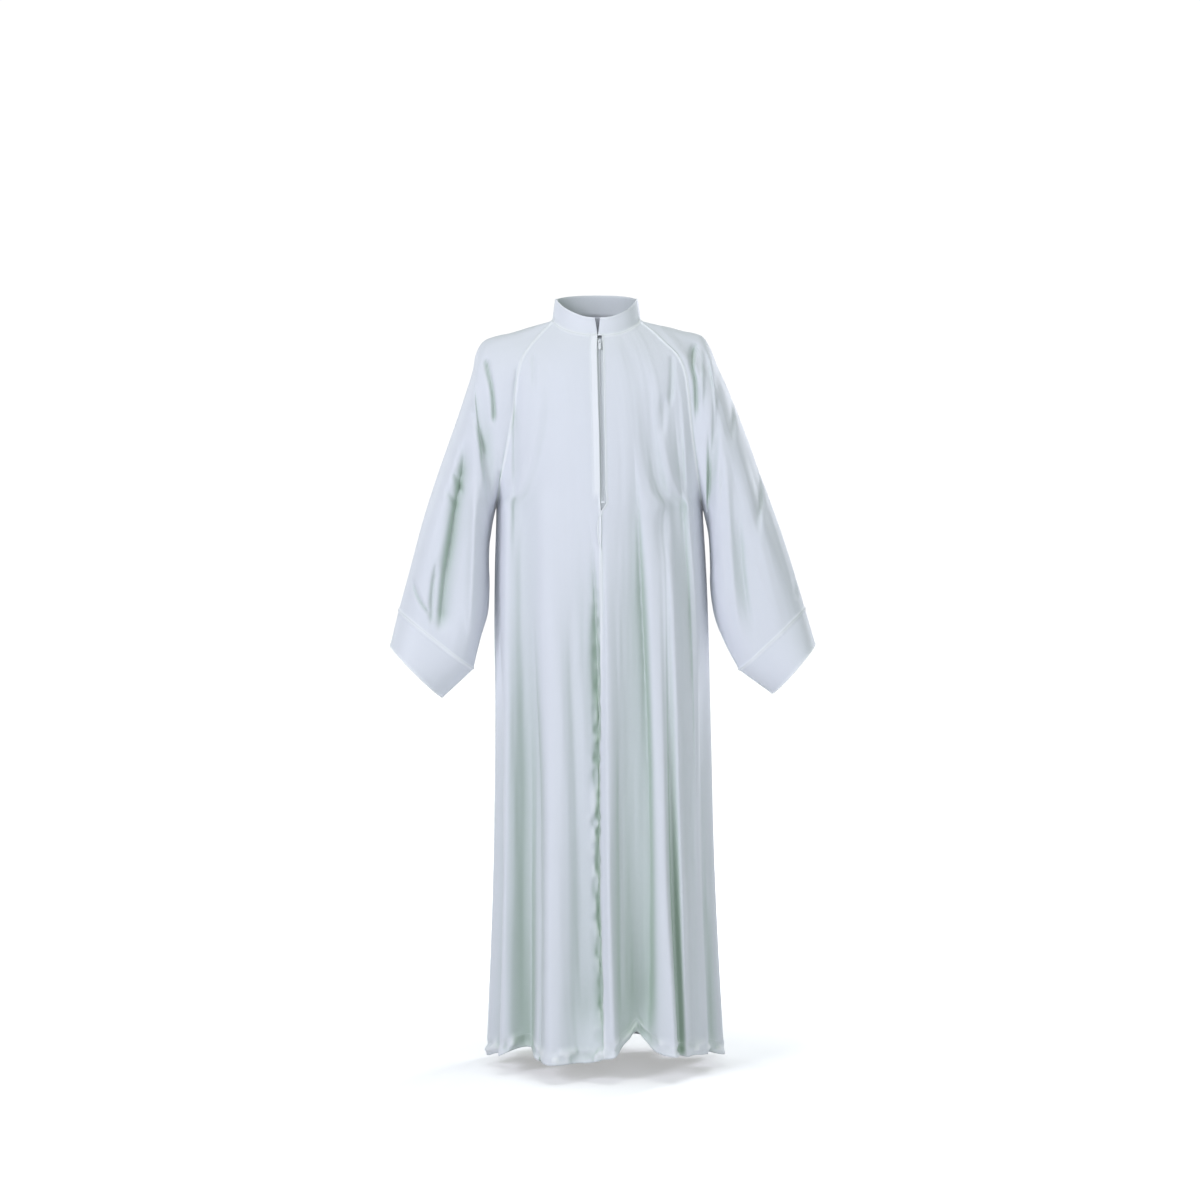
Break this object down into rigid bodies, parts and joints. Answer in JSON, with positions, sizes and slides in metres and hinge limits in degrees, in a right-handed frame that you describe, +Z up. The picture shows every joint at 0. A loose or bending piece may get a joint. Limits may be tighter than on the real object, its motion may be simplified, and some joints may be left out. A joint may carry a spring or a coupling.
{
  "type": "alb",
  "caption": "Long white alb, worn and hollow: raglan sleeves with deep turned cuffs, a stand collar and a zip at the front, hanging in soft folds to the hem",
  "frame": {"origin": "the middle of the neck opening, where the neck meets the shoulders", "axes": "+Z up along the wearer, +X to the right as seen from the front, and the front faces -Y"},
  "size_m": [0.846, 0.3861, 1.5288],
  "materials": {
    "cloth": "smooth white polyester cloth with a faint sheen",
    "band": "the same white cloth, doubled over an interlining",
    "zip_tape": "fine woven white tape with moulded teeth",
    "zip_metal": "white enamelled metal, satin"
  },
  "bodies": {
    "garment": {"front_left": "cloth", "front_right": "cloth", "back": "cloth", "sleeve_left": "cloth", "sleeve_right": "cloth", "cuff_left": "band", "cuff_right": "band", "collar": "band", "zip_tape_left": "zip_tape", "zip_tape_right": "zip_tape", "zip_slider": "zip_metal", "zip_stop": "zip_metal"},
    "pull_tab": {"zip_pull_tab": "zip_metal"}
  },
  "joints": [
    {"name": "pull_tab_hinge", "type": "hinge", "parent": "garment", "child": "pull_tab", "pos_m": [0.00234, -0.07701, -0.05126], "axis": [-1, 0, 0], "range_deg": [0, 165]}
  ]
}
